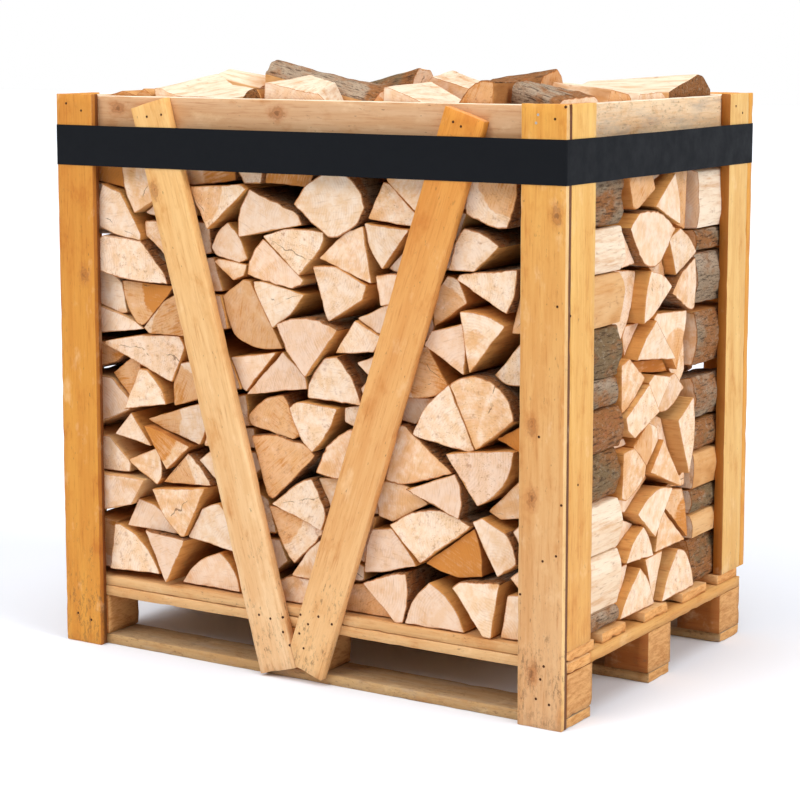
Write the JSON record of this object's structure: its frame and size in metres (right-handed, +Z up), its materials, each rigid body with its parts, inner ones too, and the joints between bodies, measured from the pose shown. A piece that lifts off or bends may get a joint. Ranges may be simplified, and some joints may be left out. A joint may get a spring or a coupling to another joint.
{
  "type": "pallet crate of firewood",
  "caption": "Wooden pallet crate packed with split hardwood firewood, with corner posts, top rails, V braces and a plain dark band.",
  "frame": {"origin": "on the floor under the middle of the pallet's footprint", "axes": "+X along the 1200 mm length, +Z up, the front with the V brace faces -Y"},
  "size_m": [1.2026, 0.8352, 1.2296],
  "materials": {
    "pallet_boards": "rough sawn pine, beige, greyed on top of the runners",
    "pallet_blocks": "rough sawn pine, honey beige",
    "post_planks": "sawn pine, honey orange, with knots and nail heads",
    "rail_boards": "sawn pine, pale beige, speckled",
    "split_logs": "split beech and birch, pale sawn ends, fibrous split faces, grey-brown bark",
    "band_film": "dark blue-black printed plastic film, satin"
  },
  "bodies": {
    "root": {"runner_front": "pallet_boards", "runner_middle": "pallet_boards", "runner_back": "pallet_boards", "block_front_left": "pallet_blocks", "block_front_middle": "pallet_blocks", "block_front_right": "pallet_blocks", "block_middle_left": "pallet_blocks", "block_middle_middle": "pallet_blocks", "block_middle_right": "pallet_blocks", "block_back_left": "pallet_blocks", "block_back_middle": "pallet_blocks", "block_back_right": "pallet_blocks", "front_edge_board": "pallet_boards", "stringer_left": "pallet_boards", "stringer_middle": "pallet_boards", "stringer_right": "pallet_boards", "deck_board_1": "pallet_boards", "deck_board_2": "pallet_boards", "deck_board_3": "pallet_boards", "deck_board_4": "pallet_boards", "deck_board_5": "pallet_boards", "post_front_left_face": "post_planks", "post_front_left_side": "post_planks", "post_front_right_face": "post_planks", "post_front_right_side": "post_planks", "post_back_left_face": "post_planks", "post_back_left_side": "post_planks", "post_back_right_face": "post_planks", "post_back_right_side": "post_planks", "rail_front": "rail_boards", "rail_back": "rail_boards", "rail_left": "rail_boards", "rail_right": "rail_boards", "brace_front_left": "post_planks", "brace_front_right": "post_planks", "brace_back_left": "post_planks", "brace_back_right": "post_planks", "band": "band_film", "logs_front_row": "split_logs", "logs_middle_row": "split_logs", "logs_back_row": "split_logs", "loose_log_01": "split_logs", "loose_log_02": "split_logs", "loose_log_03": "split_logs", "loose_log_04": "split_logs", "loose_log_05": "split_logs", "loose_log_06": "split_logs", "loose_log_07": "split_logs", "loose_log_08": "split_logs", "loose_log_09": "split_logs", "loose_log_10": "split_logs", "loose_log_11": "split_logs", "loose_log_12": "split_logs", "loose_log_13": "split_logs", "loose_log_14": "split_logs", "loose_log_15": "split_logs", "loose_log_16": "split_logs", "loose_log_17": "split_logs", "loose_log_18": "split_logs", "loose_log_19": "split_logs"}
  },
  "joints": []
}
